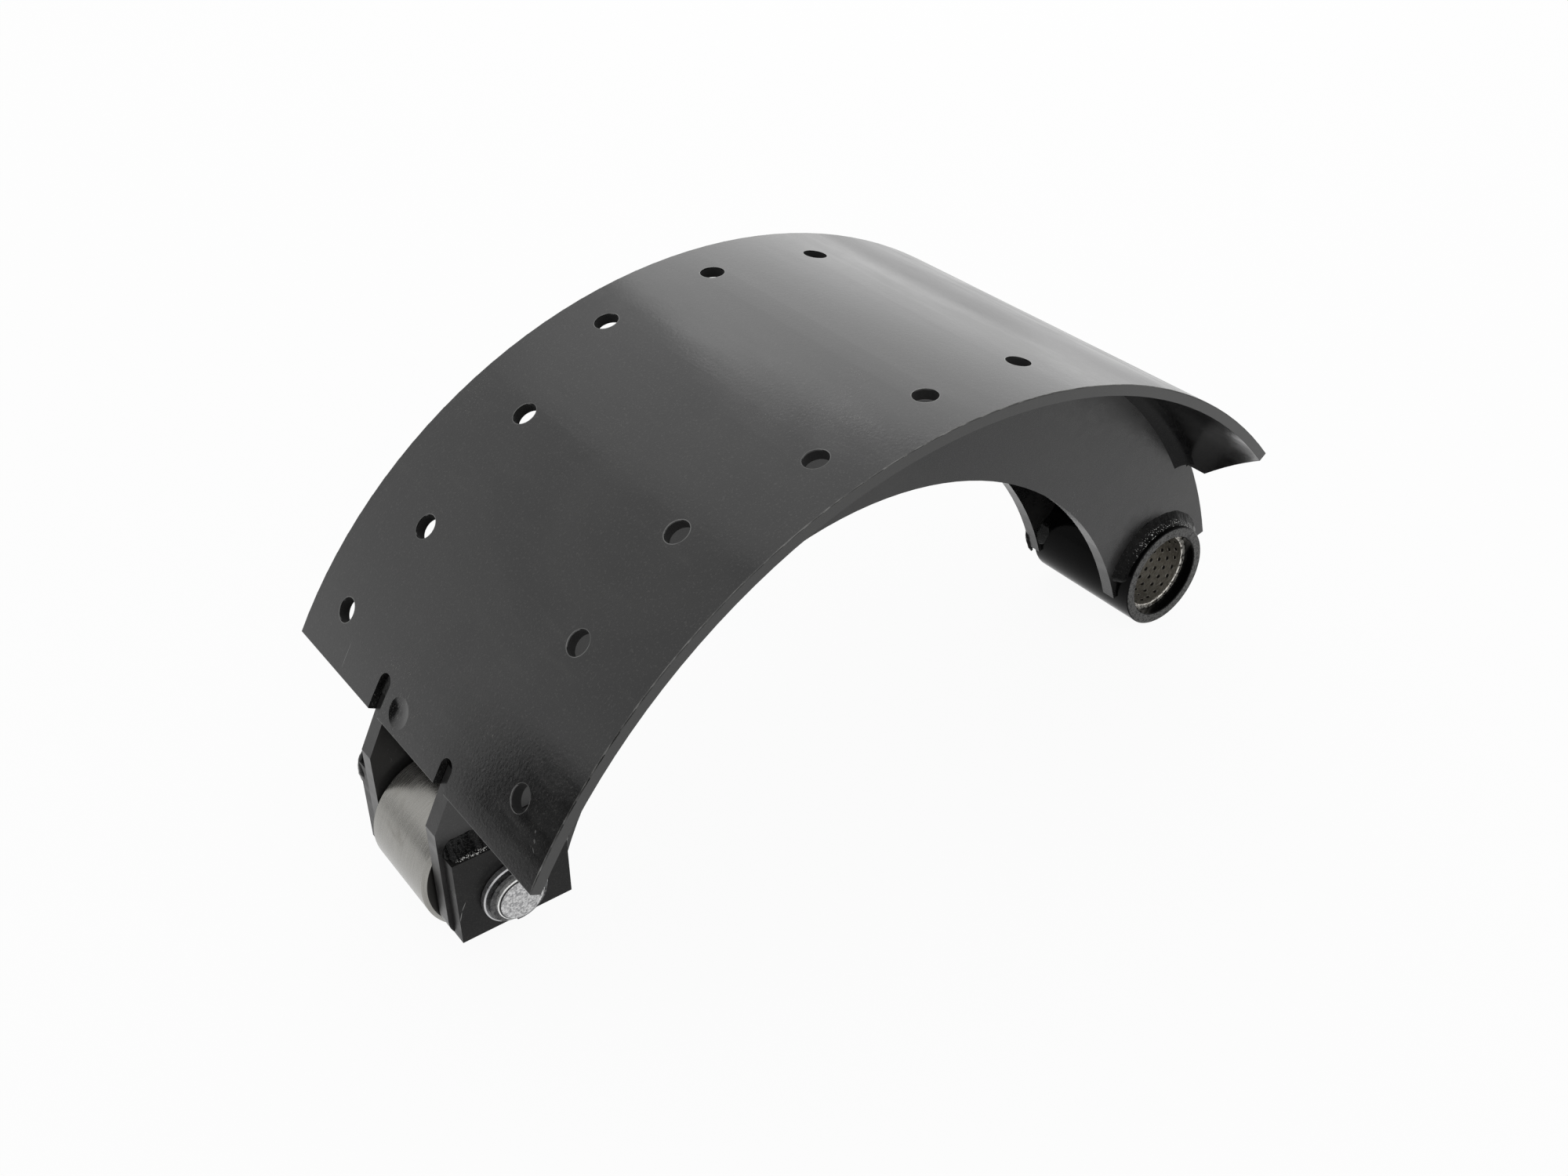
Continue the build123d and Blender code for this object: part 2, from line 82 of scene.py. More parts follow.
# one material being built: its tree, and short ways to add nodes to it. All textures run on object
# coordinates, in metres, so a noise's scale is in cells per metre.
class Finish:
    def __init__(self, name):
        self.material = bpy.data.materials.new(name)
        self.material.use_nodes = True
        self.tree = self.material.node_tree
        self.shader = self.tree.nodes["Principled BSDF"]
        self.coords = self.tree.nodes.new("ShaderNodeTexCoord").outputs["Object"]

    # a node's output is linked, and anything else is written in the socket, a colour with alpha 1
    def put(self, socket, value):
        if isinstance(value, bpy.types.NodeSocket):
            self.tree.links.new(value, socket)
        elif hasattr(socket.default_value, "__len__") and len(socket.default_value) == 4:
            socket.default_value = (*value[:3], 1.0)
        else:
            socket.default_value = value

    # coordinates scaled, then turned by degrees about X, Y and Z, then moved
    def mapped(self, scale=(1, 1, 1), turn=(0, 0, 0), move=(0, 0, 0)):
        node = self.tree.nodes.new("ShaderNodeMapping")
        self.put(node.inputs["Vector"], self.coords)
        node.inputs["Scale"].default_value = scale
        node.inputs["Rotation"].default_value = [math.radians(a) for a in turn]
        node.inputs["Location"].default_value = move
        return node.outputs["Vector"]

    # noise from 0 to 1: detail octaves, each rough times as strong as the one before, bent by warp
    def noise(self, vector, scale, detail, rough, warp=0.0):
        node = self.tree.nodes.new("ShaderNodeTexNoise")
        self.put(node.inputs["Vector"], vector)
        node.inputs["Scale"].default_value = scale
        node.inputs["Detail"].default_value = detail
        node.inputs["Roughness"].default_value = rough
        node.inputs["Distortion"].default_value = warp
        return node.outputs["Fac"]

    # distance to the nearest of a field of scattered points
    def cells(self, vector, scale):
        node = self.tree.nodes.new("ShaderNodeTexVoronoi")
        self.put(node.inputs["Vector"], vector)
        node.inputs["Scale"].default_value = scale
        return node.outputs["Distance"]

    # low..high carried to outLow..outHigh along a smooth step, and held at both ends
    def span(self, value, low, high, outLow=0.0, outHigh=1.0):
        node = self.tree.nodes.new("ShaderNodeMapRange")
        node.clamp = True
        node.interpolation_type = "SMOOTHSTEP"
        self.put(node.inputs["Value"], value)
        for key, number in (("From Min", low), ("From Max", high), ("To Min", outLow), ("To Max", outHigh)):
            node.inputs[key].default_value = number
        return node.outputs["Result"]

    # the named operation on a, b and c
    def maths(self, kind, a, b=0.0, c=0.0):
        node = self.tree.nodes.new("ShaderNodeMath")
        node.operation = kind
        for socket, value in zip(node.inputs, (a, b, c)):
            self.put(socket, value)
        return node.outputs["Value"]

    # a times b
    def times(self, a, b):
        return self.maths("MULTIPLY", a, b)

    # square root of a times a plus b times b
    def hypot(self, a, b):
        return self.maths("SQRT", self.maths("ADD", self.times(a, a), self.times(b, b)))

    # the coordinates' x, y and z apart
    def axes(self):
        node = self.tree.nodes.new("ShaderNodeSeparateXYZ")
        self.put(node.inputs["Vector"], self.coords)
        return node.outputs["X"], node.outputs["Y"], node.outputs["Z"]

    # vector of x, y and z
    def joined(self, x, y, z):
        node = self.tree.nodes.new("ShaderNodeCombineXYZ")
        for socket, value in zip(node.inputs, (x, y, z)):
            self.put(socket, value)
        return node.outputs["Vector"]

    # distance from vector to point
    def away(self, vector, point):
        node = self.tree.nodes.new("ShaderNodeVectorMath")
        node.operation = "DISTANCE"
        self.put(node.inputs[0], vector)
        node.inputs[1].default_value = point
        return node.outputs["Value"]

    # first times (1 - share) plus second times share
    def blend(self, share, first, second):
        node = self.tree.nodes.new("ShaderNodeMix")
        node.data_type = "RGBA"
        self.put(node.inputs["Factor"], share)
        self.put(node.inputs[6], first)
        self.put(node.inputs[7], second)
        return node.outputs[2]

    # normal tilted by the slope of height times depth, as far as strength says, on top of the tilt before
    def bump(self, height, strength, depth, before=None):
        node = self.tree.nodes.new("ShaderNodeBump")
        node.inputs["Strength"].default_value = strength
        node.inputs["Distance"].default_value = depth
        self.put(node.inputs["Height"], height)
        if before is not None:
            self.put(node.inputs["Normal"], before)
        return node.outputs["Normal"]

    # the shader with all of it set; level is how strongly the surface mirrors, 0.5 for plain gloss
    def finish(self, colour, rough, normal, metal=0.0, level=0.5):
        self.put(self.shader.inputs["Base Color"], colour)
        self.put(self.shader.inputs["Roughness"], rough)
        self.put(self.shader.inputs["Normal"], normal)
        self.shader.inputs["Metallic"].default_value = metal
        self.shader.inputs["Specular IOR Level"].default_value = level
        return self.material


# In the settings of a finish, a noise is its scale, detail, roughness and warp. A band is the two values
# between which a tone comes in, and where it holds four, the last two are what it then gives. A relief is
# a bump's strength and its depth in metres.

# satin black paint on the plates, unless a plate's own settings say otherwise
paintBase = {
    "cloud": (16.0, 4.0, 0.6, 0.8), "cloudBand": (0.34, 0.7), "cloudRelief": (0.3, 0.0004),
    "streak": (190.0, 3.0, 0.6), "streakDraw": (1.0, 0.16, 1.0), "streakBand": (0.55, 0.75, 0.0, 0.3),
    "streakTone": (0.03, 0.0295, 0.028), "streakRelief": (0.0, 0.0001), "dust": (2600.0, 2.0, 0.5),
    "dustBand": (0.56, 0.7, 0.0, 0.45), "dustTone": (0.05, 0.049, 0.047), "dustRelief": (0.25, 0.00005),
    "cluster": (24.0, 2.0, 0.5), "clusterBand": (0.6, 0.74), "speck": (2300.0, 1.0, 0.4),
    "speckDraw": (1.0, 1.0, 0.35), "speckTurn": (0, 30, 20), "speckBand": (0.66, 0.72),
    "scuffTone": (0.3, 0.295, 0.28), "scuffRough": 0.4, "peel": (900.0, 2.0, 0.5),
    "peelRelief": (0.16, 0.00012), "roughStreak": 0.4, "roughCloud": 0.6, "roughBand": (0.36, 0.64),
    "level": 0.5, "edges": False, "marks": (), "markBand": (1.0, 0.6),
}
paintSettings = {
    "tablePaint": {"dark": (0.0015, 0.0015, 0.0017), "pale": (0.01, 0.0099, 0.0097), "smooth": 0.13,
                   "dull": 0.23, "scuffs": 0.3, "seed": 0.0, "dust": (1500.0, 2.0, 0.5),
                   "dustBand": (0.56, 0.7, 0.0, 0.55), "dustRelief": (0.08, 0.00005),
                   "streakBand": (0.55, 0.75, 0.0, 0.25), "streakRelief": (0.1, 0.0001),
                   "cloudRelief": (0.12, 0.0004), "edges": True,
                   # scratches: arc length and y of the middle, turn, length and width
                   "marks": ((-196.7, 47.0, 1.5, 11.6, 0.35), (-188.9, -68.5, 20, 1.1, 0.7),
                             (-191.2, -69.8, 55, 1.6, 0.8), (-193.4, -70.9, 60, 2.2, 0.4)),
                   "markPale": (0.12, 0.12, 0.118)},
    "webPaint": {"dark": (0.011, 0.011, 0.0115), "pale": (0.026, 0.0255, 0.025), "smooth": 0.22,
                 "dull": 0.38, "scuffs": 0.25, "seed": 3.7},
    "seamPaint": {"dark": (0.006, 0.006, 0.0065), "pale": (0.012, 0.012, 0.012), "smooth": 0.25,
                  "dull": 0.4, "scuffs": 0.1, "seed": 5.3, "level": 0.06},
    "doublerPaint": {"dark": (0.007, 0.007, 0.0073), "pale": (0.018, 0.0176, 0.017), "smooth": 0.24,
                     "dull": 0.42, "scuffs": 0.25, "seed": 8.1, "level": 0.15,
                     # scratches on the near face: x and z of the middle, turn, length and width
                     "marks": ((-318.1, 2.8, 63, 3.9, 0.3), (-319.4, -0.7, 75, 4.0, 0.35)),
                     "markPale": (0.25, 0.25, 0.245), "faceBand": (-30.85, -30.9)},
}

# the rolled plate in mm: drum axis, outer radius, half width and its rivet holes, each row given by its
# angle from straight up and its distance from the middle. The second row's far hole sits lower, so that
# row is given hole by hole. The bands are measured inward from the outer face and the sides, and outward
# from a hole's radius.
plate = {"axisX": -150.2, "axisZ": -47.0, "outer": 190.0, "halfWidth": 76.85, "holeRadius": 4.25,
         "rows": ((-55.9, 57.0), (-29.95, 44.0), (-17.0, 57.3), (-4.1, 56.4), (8.6, 53.0), (34.4, 53.0)),
         "oddPair": ((-42.6, -43.7), (-44.3, 43.7)),
         "faceBand": (0.25, 0.1), "wearBand": (0.4, 0.6, 0.35, 1.0),
         "rimBand": (0.36, 0.12), "rimPale": (0.16, 0.16, 0.157),
         # the edge band and its pale tone are a painted highlight along the plate's long edges
         "edgeBand": (0.55, 0.3), "edgeHighlight": (0.22, 0.218, 0.212),
         "sideBand": (0.15, 0.05), "sideShare": 0.8, "sideTone": (0.045, 0.045, 0.044),
         "wallBand": (0.4, 0.6), "wallTone": (0.008, 0.008, 0.008)}


# thin scratches: paint is off where (along / half length)^2 + (across / half width)^2 is under 1
def scratched(f, tone, place, settings):
    for u, v, turn, length, width in settings["marks"]:
        node = f.tree.nodes.new("ShaderNodeMapping")
        node.vector_type = "TEXTURE"
        f.put(node.inputs["Vector"], place)
        node.inputs["Location"].default_value = (u, v, 0.0)
        node.inputs["Rotation"].default_value = (0.0, 0.0, math.radians(turn))
        node.inputs["Scale"].default_value = (length / 2, width / 2, 1.0)
        mark = f.span(f.away(node.outputs["Vector"], (0.0, 0.0, 0.0)), *settings["markBand"])
        tone = f.blend(mark, tone, settings["markPale"])
    return tone


# thin paint round the plate's holes, a painted highlight along its long edges that the streak noise breaks
# up, paler side faces, and dark bare walls inside the holes. A point is read as its arc length along the
# outer face and its distance from the middle. A rim is where the distance to the nearest hole's middle is
# about the hole's radius, and a wall is the same place under the outer face.
def tableEdges(f, tone, wear, settings):
    outer, halfWidth = plate["outer"], plate["halfWidth"]
    x, y, z = f.axes()
    across = f.maths("SUBTRACT", x, plate["axisX"] * mm)
    up = f.maths("SUBTRACT", z, plate["axisZ"] * mm)
    away = f.hypot(across, up)
    arc = f.times(f.maths("ARCTAN2", across, up), outer)
    beside = f.times(f.maths("ABSOLUTE", y), 1 / mm)
    paired = f.joined(arc, beside, 0.0)
    single = f.joined(arc, f.times(y, 1 / mm), 0.0)
    tone = scratched(f, tone, single, settings)
    holes = [(single, hole) for hole in plate["oddPair"]] + [(paired, row) for row in plate["rows"]]
    gaps = [f.away(place, (math.radians(angle) * outer, holeY, 0.0)) for place, (angle, holeY) in holes]
    nearest = gaps[0]
    for gap in gaps[1:]:
        nearest = f.maths("MINIMUM", nearest, gap)
    face = f.span(away, *((outer - a) * mm for a in plate["faceBand"]))
    rim = f.span(nearest, *(plate["holeRadius"] + a for a in plate["rimBand"]))
    edge = f.span(beside, *(halfWidth - a for a in plate["edgeBand"]))
    side = f.span(beside, *(halfWidth - a for a in plate["sideBand"]))
    wall = f.times(rim, f.span(away, *((outer - a) * mm for a in plate["wallBand"])))
    worn = f.span(wear, *plate["wearBand"])
    tone = f.blend(f.times(side, plate["sideShare"]), tone, plate["sideTone"])
    tone = f.blend(f.times(f.times(rim, face), worn), tone, plate["rimPale"])
    # painted highlight along the long edges of the outer face, broken up by the streak noise
    tone = f.blend(f.times(f.times(edge, face), worn), tone, plate["edgeHighlight"])
    return f.blend(wall, tone, plate["wallTone"]), wall


# scratches on the near doubler's outer face only: a point is read as its x and z in mm, and off that face
# the third coordinate is 1, which is out of every scratch's reach
def doublerMarks(f, tone, settings):
    x, y, z = f.axes()
    onFace = f.span(y, *(a * mm for a in settings["faceBand"]))
    place = f.joined(f.times(x, 1 / mm), f.times(z, 1 / mm), f.maths("SUBTRACT", 1.0, onFace))
    return scratched(f, tone, place, settings)


# dark paint clouded with pale, with streaks, dust and scuffs over it, each where its own noise runs high.
# Roughness goes from smooth to dull with the streaks and clouds, and the noises also lift the surface.
def blackPaint(name, own):
    settings = {**paintBase, **own}
    f = Finish(name)
    move = (settings["seed"],) * 3
    shifted = f.mapped(move=move)
    cloud = f.noise(shifted, *settings["cloud"])
    streak = f.noise(f.mapped(scale=settings["streakDraw"], move=move), *settings["streak"])
    peel = f.noise(shifted, *settings["peel"])
    dust = f.noise(shifted, *settings["dust"])
    # little pale scuffs stand in clusters where the coarse noise runs high
    cluster = f.span(f.noise(shifted, *settings["cluster"]), *settings["clusterBand"])
    drawn = f.mapped(scale=settings["speckDraw"], turn=settings["speckTurn"])
    specks = f.span(f.noise(drawn, *settings["speck"]), *settings["speckBand"])
    scuff = f.times(f.times(cluster, specks), settings["scuffs"])
    tone = f.blend(f.span(cloud, *settings["cloudBand"]), settings["dark"], settings["pale"])
    tone = f.blend(f.span(streak, *settings["streakBand"]), tone, settings["streakTone"])
    tone = f.blend(f.span(dust, *settings["dustBand"]), tone, settings["dustTone"])
    tone = f.blend(scuff, tone, settings["scuffTone"])
    mixed = f.maths("MULTIPLY_ADD", streak, settings["roughStreak"], f.times(cloud, settings["roughCloud"]))
    rough = f.span(mixed, *settings["roughBand"], settings["smooth"], settings["dull"])
    rough = f.maths("MULTIPLY_ADD", scuff, settings["scuffRough"], rough)
    if settings["edges"]:
        tone, wall = tableEdges(f, tone, streak, settings)
        rough = f.maths("MAXIMUM", rough, wall)
    elif settings["marks"]:
        tone = doublerMarks(f, tone, settings)
    normal = f.bump(peel, *settings["peelRelief"])
    normal = f.bump(dust, *settings["dustRelief"], normal)
    normal = f.bump(streak, *settings["streakRelief"], normal)
    normal = f.bump(cloud, *settings["cloudRelief"], normal)
    return f.finish(tone, rough, normal, level=settings["level"])


# thicker glossy paint on the anchor tube, thin on its machined end, so that grey shows on that ring
tubePaintSettings = {"dark": (0.002, 0.002, 0.0022), "pale": (0.005, 0.005, 0.005),
                     "ringPale": (0.14, 0.14, 0.137), "ringBand": (-31.6, -31.75), "ringRough": 0.25,
                     "cloud": (45.0, 3.0, 0.6, 0.5), "cloudBand": (0.35, 0.7), "grit": (1400.0, 2.0, 0.6),
                     "gritBand": (0.35, 0.6, 0.35, 1.0), "gritRelief": (0.25, 0.00008),
                     "roughBand": (0.35, 0.65, 0.08, 0.2), "level": 0.05}


# dark paint clouded with pale, and past the ring's start in y a grey that the grit breaks up
def tubePaint(settings):
    f = Finish("tubePaint")
    y = f.axes()[1]
    cloud = f.noise(f.mapped(), *settings["cloud"])
    grit = f.noise(f.mapped(), *settings["grit"])
    ring = f.span(y, *(a * mm for a in settings["ringBand"]))
    worn = f.times(ring, f.span(grit, *settings["gritBand"]))
    tone = f.blend(f.span(cloud, *settings["cloudBand"]), settings["dark"], settings["pale"])
    tone = f.blend(worn, tone, settings["ringPale"])
    rough = f.maths("MULTIPLY_ADD", worn, settings["ringRough"], f.span(cloud, *settings["roughBand"]))
    return f.finish(tone, rough, f.bump(grit, *settings["gritRelief"]), level=settings["level"])


# weld metal under paint, with ripples, pits and painted glints
weldBase = {"lump": (380.0, 4.0, 0.62, 0.6), "lumpBand": (0.35, 0.7), "lumpDepth": 0.0005, "pit": 520.0,
            "pitDepth": 0.0003, "grit": (1900.0, 2.0, 0.6), "gritDepth": 0.0001, "fineShare": 0.4,
            "glintDetail": (1.0, 0.5), "glintWidth": 0.05, "strayShare": 0.03, "roughBand": (0.3, 0.7),
            "bare": None}
weldSettings = {
    "weldPaint": {"dark": (0.002, 0.002, 0.0022), "pale": (0.008, 0.0078, 0.0075),
                  # the bright speck tone and the band in y and z give painted glints and a painted
                  # highlight line along the toe
                  "glintTone": (0.8, 0.8, 0.78), "smooth": 0.08, "dull": 0.22, "level": 0.07, "relief": 0.35,
                  "glintLineY": (-27.0, -28.2), "glintLineZ": (10.0, 22.0), "glintScale": 1900.0, "glintFrom": 0.63,
                  # paint knocked off where the bead ends
                  "bare": {"place": (23.0, -27.5, 10.5), "reach": 3.6, "fade": 1.2, "ragged": 0.002,
                           "tone": (0.25, 0.25, 0.245)}},
    "beadPaint": {"dark": (0.002, 0.002, 0.0022), "pale": (0.005, 0.005, 0.005),
                  "glintTone": (0.7, 0.7, 0.68), "smooth": 0.1, "dull": 0.2, "level": 0.12, "relief": 0.2,
                  "glintLineY": (-29.3, -30.0), "glintLineZ": (18.0, 19.0), "glintScale": 2400.0, "glintFrom": 0.54},
}


# dark paint clouded with pale. Painted glints stand where fine noise runs high, nearly all of them in a
# painted highlight line along the bead's outer toe. The bare patch is a ball round its place, with an edge
# that the lumps fray.
def weldFinish(name, own):
    settings = {**weldBase, **own}
    f = Finish(name)
    lumps = f.noise(f.mapped(), *settings["lump"])
    grit = f.noise(f.mapped(), *settings["grit"])
    pits = f.cells(f.mapped(), settings["pit"])
    y, z = f.axes()[1:]
    glintLine = f.times(f.span(y, *(a * mm for a in settings["glintLineY"])),
                     f.span(z, *(a * mm for a in settings["glintLineZ"])))
    glintNoise = f.noise(f.mapped(), settings["glintScale"], *settings["glintDetail"])
    glintSpecks = f.span(glintNoise, settings["glintFrom"], settings["glintFrom"] + settings["glintWidth"])
    stray = settings["strayShare"]
    tone = f.blend(f.span(lumps, *settings["lumpBand"]), settings["dark"], settings["pale"])
    glints = f.times(glintSpecks, f.maths("MULTIPLY_ADD", glintLine, 1 - stray, stray))
    # painted glints, mostly in the painted highlight line along the toe
    tone = f.blend(glints, tone, settings["glintTone"])
    if settings["bare"]:
        bare = settings["bare"]
        off = f.away(f.coords, tuple(a * mm for a in bare["place"]))
        frayed = f.maths("MULTIPLY_ADD", lumps, bare["ragged"], off)
        patch = f.span(frayed, (bare["reach"] + bare["fade"]) * mm, bare["reach"] * mm)
        tone = f.blend(patch, tone, bare["tone"])
    rough = f.span(grit, *settings["roughBand"], settings["smooth"], settings["dull"])
    fine = settings["relief"] * settings["fineShare"]
    normal = f.bump(lumps, settings["relief"], settings["lumpDepth"])
    normal = f.bump(pits, fine, settings["pitDepth"], normal)
    normal = f.bump(grit, fine, settings["gritDepth"], normal)
    return f.finish(tone, rough, normal, level=settings["level"])


# bush: grey-beige lining with staggered rows of oil dimples and painted glints along its near rim; lengths
# in mm, the dimple in pitches
bushSettings = {"metal": (0.24, 0.225, 0.195), "worn": (0.4, 0.38, 0.34), "hollow": (0.008, 0.007, 0.006),
                "rimPale": (0.72, 0.7, 0.65), "pitch": 4.4, "row": 3.6, "dimple": 0.25, "dimpleFade": 0.1,
                "radius": 16.0, "nearEnd": -26.8, "rimFrom": (0.6, 0.3), "grain": (700.0, 3.0, 0.6),
                "grainDraw": (1.0, 3.0, 1.0), "grainBand": (0.35, 0.65), "rimBand": (0.4, 0.55),
                "roughBand": (0.3, 0.7, 0.32, 0.55), "hollowShare": 0.95, "hollowRelief": (0.8, 0.0004),
                "grainRelief": (0.35, 0.0001), "metallic": 0.85}


# u is the arc length round the bore and v the distance along it, each within its own dimple's cell, with u
# moved by half a pitch in every second row. A dimple is where u squared plus v squared is under its radius
# squared.
def bushLining(settings):
    f = Finish("bushLining")
    x, y, z = f.axes()
    around = f.times(f.maths("ARCTAN2", x, z), settings["radius"] / settings["pitch"])
    along = f.times(y, 1 / mm / settings["row"])
    odd = f.times(f.maths("FLOORED_MODULO", f.maths("FLOOR", along), 2.0), 0.5)
    u = f.maths("SUBTRACT", f.maths("FRACT", f.maths("ADD", around, odd)), 0.5)
    v = f.maths("SUBTRACT", f.maths("FRACT", along), 0.5)
    inside = f.span(f.hypot(u, v), settings["dimple"], settings["dimple"] - settings["dimpleFade"])
    grain = f.noise(f.mapped(scale=settings["grainDraw"]), *settings["grain"])
    rim = f.span(y, *((settings["nearEnd"] + a) * mm for a in settings["rimFrom"]))
    tone = f.blend(f.span(grain, *settings["grainBand"]), settings["metal"], settings["worn"])
    tone = f.blend(f.times(inside, settings["hollowShare"]), tone, settings["hollow"])
    # painted glints along the near rim, where the grain runs high
    tone = f.blend(f.times(rim, f.span(grain, *settings["rimBand"])), tone, settings["rimPale"])
    normal = f.bump(f.maths("SUBTRACT", 1.0, inside), *settings["hollowRelief"])
    normal = f.bump(grain, *settings["grainRelief"], normal)
    return f.finish(tone, f.span(grain, *settings["roughBand"]), normal, settings["metallic"])


# roller: ground steel with its end faces painted dark, a painted shade in the narrow gaps beside the webs
rollerSettings = {"base": (0.27, 0.264, 0.247), "bright": (0.34, 0.333, 0.313), "smooth": 0.22,
                  "dull": 0.32, "ground": (2600.0, 3.0, 0.6), "groundDraw": (0.04, 1.0, 0.04),
                  "groundBand": (0.32, 0.68), "groundRelief": (0.4, 0.00006),
                  "stain": (70.0, 4.0, 0.6, 0.6), "stainBand": (0.55, 0.75, 0.0, 0.4),
                  "stainTone": (0.13, 0.12, 0.1), "stainRelief": (0.15, 0.0001),
                  "endBand": (17.9, 17.93), "endRough": 0.15, "endShade": (0.035, 0.034, 0.032),
                  "roughBand": (0.3, 0.7), "metallic": 0.9}


# grinding runs round the roller, so its noise is drawn out everywhere but along Y; stains lie over it
def rollerSteel(settings):
    f = Finish("rollerSteel")
    y = f.axes()[1]
    ground = f.noise(f.mapped(scale=settings["groundDraw"]), *settings["ground"])
    stain = f.noise(f.mapped(), *settings["stain"])
    end = f.span(f.maths("ABSOLUTE", y), *(a * mm for a in settings["endBand"]))
    tone = f.blend(f.span(ground, *settings["groundBand"]), settings["base"], settings["bright"])
    tone = f.blend(f.span(stain, *settings["stainBand"]), tone, settings["stainTone"])
    # painted shade on the end faces
    tone = f.blend(end, tone, settings["endShade"])
    rough = f.span(ground, *settings["roughBand"], settings["smooth"], settings["dull"])
    rough = f.maths("MULTIPLY_ADD", end, settings["endRough"], rough)
    normal = f.bump(ground, *settings["groundRelief"])
    normal = f.bump(stain, *settings["stainRelief"], normal)
    return f.finish(tone, rough, normal, settings["metallic"])


# pin, washers and circlips. A ring is its radius about the roller's axis, half width and colour; the rings
# are painted highlights at the edges, and on the pin a dark line inside its highlight.
grainBase = {"sandDetail": (3.0, 0.65), "sandBand": (0.36, 0.64), "sandStrength": 0.7,
             "roughBand": (0.3, 0.7), "stain": (130.0, 3.0, 0.6), "stainBand": (0.58, 0.76, 0.0, 0.4),
             "stainTone": (0.16, 0.15, 0.13), "axisX": -301.7, "axisZ": 1.0, "rings": (), "ringCore": 0.5}
grainSettings = {
    "pinSteel": {"base": (0.26, 0.26, 0.265), "bright": (0.68, 0.68, 0.68), "smooth": 0.26, "dull": 0.5,
                 "sand": 1500.0, "sandDepth": 0.0002, "metallic": 0.85,
                 # on the pin's end, a dark line and a painted highlight at its chamfered edge
                 "rings": ((7.45, 0.3, (0.03, 0.03, 0.03)), (7.85, 0.25, (0.85, 0.85, 0.84)))},
    "washerSteel": {"base": (0.11, 0.11, 0.115), "bright": (0.2, 0.2, 0.2), "smooth": 0.26, "dull": 0.45,
                    "sand": 900.0, "sandDepth": 0.00012, "metallic": 0.9,
                    # painted highlights along the washer's rim and on a ring inside it
                    "rings": ((10.8, 0.35, (0.55, 0.55, 0.56)), (9.4, 0.2, (0.4, 0.4, 0.4)))},
    "clipSteel": {"base": (0.035, 0.035, 0.037), "bright": (0.12, 0.12, 0.12), "smooth": 0.22,
                  "dull": 0.36, "sand": 700.0, "sandDepth": 0.0001, "metallic": 0.7},
}


# base clouded with bright by a sandy noise, with stains over it, and painted rings, highlights at the edges
# and a dark line, each of its own colour wherever the distance from the axis is within half a width of the
# ring's radius
def grainySteel(name, own):
    settings = {**grainBase, **own}
    f = Finish(name)
    sand = f.noise(f.mapped(), settings["sand"], *settings["sandDetail"])
    stain = f.noise(f.mapped(), *settings["stain"])
    tone = f.blend(f.span(sand, *settings["sandBand"]), settings["base"], settings["bright"])
    tone = f.blend(f.span(stain, *settings["stainBand"]), tone, settings["stainTone"])
    x, _, z = f.axes()
    across = f.maths("SUBTRACT", x, settings["axisX"] * mm)
    up = f.maths("SUBTRACT", z, settings["axisZ"] * mm)
    away = f.hypot(across, up)
    for radius, half, colour in settings["rings"]:
        off = f.maths("ABSOLUTE", f.maths("SUBTRACT", away, radius * mm))
        tone = f.blend(f.span(off, half * mm, half * settings["ringCore"] * mm), tone, colour)
    rough = f.span(sand, *settings["roughBand"], settings["smooth"], settings["dull"])
    normal = f.bump(sand, settings["sandStrength"], settings["sandDepth"])
    return f.finish(tone, rough, normal, settings["metallic"])


finishes = {name: blackPaint(name, settings) for name, settings in paintSettings.items()}
finishes["tubePaint"] = tubePaint(tubePaintSettings)
finishes.update({name: weldFinish(name, settings) for name, settings in weldSettings.items()})
finishes["bushLining"] = bushLining(bushSettings)
finishes["rollerSteel"] = rollerSteel(rollerSettings)
finishes.update({name: grainySteel(name, settings) for name, settings in grainSettings.items()})

nodeFinish = {
    "table": "tablePaint", "web_near": "webPaint", "web_far": "webPaint", "doubler_near": "doublerPaint",
    "doubler_far": "doublerPaint", "anchor_tube": "tubePaint", "anchor_bush": "bushLining",
    "roller": "rollerSteel", "roller_pin": "pinSteel", "washer_near": "washerSteel",
    "washer_far": "washerSteel", "circlip_near": "clipSteel", "circlip_far": "clipSteel",
    "weld_table_near": "seamPaint", "weld_table_far": "seamPaint", "weld_tube_near": "weldPaint",
    "weld_tube_far": "weldPaint", "weld_tube_inner": "weldPaint", "weld_doubler_near": "weldPaint",
    "weld_doubler_far": "weldPaint", "weld_slot_far": "weldPaint",
}
for name, finish in nodeFinish.items():
    for holder in nodes[name].material_slots:
        holder.material = finishes[finish]
print("finishes on,", len(finishes))

# the waves that make a weld uneven: coarsest pitch, the most they slant, how fast they fade with pitch,
# and what brings their sum to about -1..1
waveSettings = {"coarsest": 1.2, "slant": 1.2, "fade": 0.75, "divisor": 1.4}


# sum of count sine waves over u and v, each with its own pitch, slant and start:
# sin(pitch * u + slant * pitch * v + start) / pitch^fade
def waves(u, v, seed, count=8, finest=11.0):
    chance = np.random.default_rng(seed)
    total = np.zeros(np.broadcast(u, v).shape)
    most = waveSettings["slant"]
    for pitch in np.linspace(waveSettings["coarsest"], finest, count):
        slant, start = chance.uniform(-most, most), chance.uniform(0, 2 * math.pi)
        total += np.sin(pitch * u + slant * pitch * v + start) / pitch ** waveSettings["fade"]
    return total / waveSettings["divisor"]


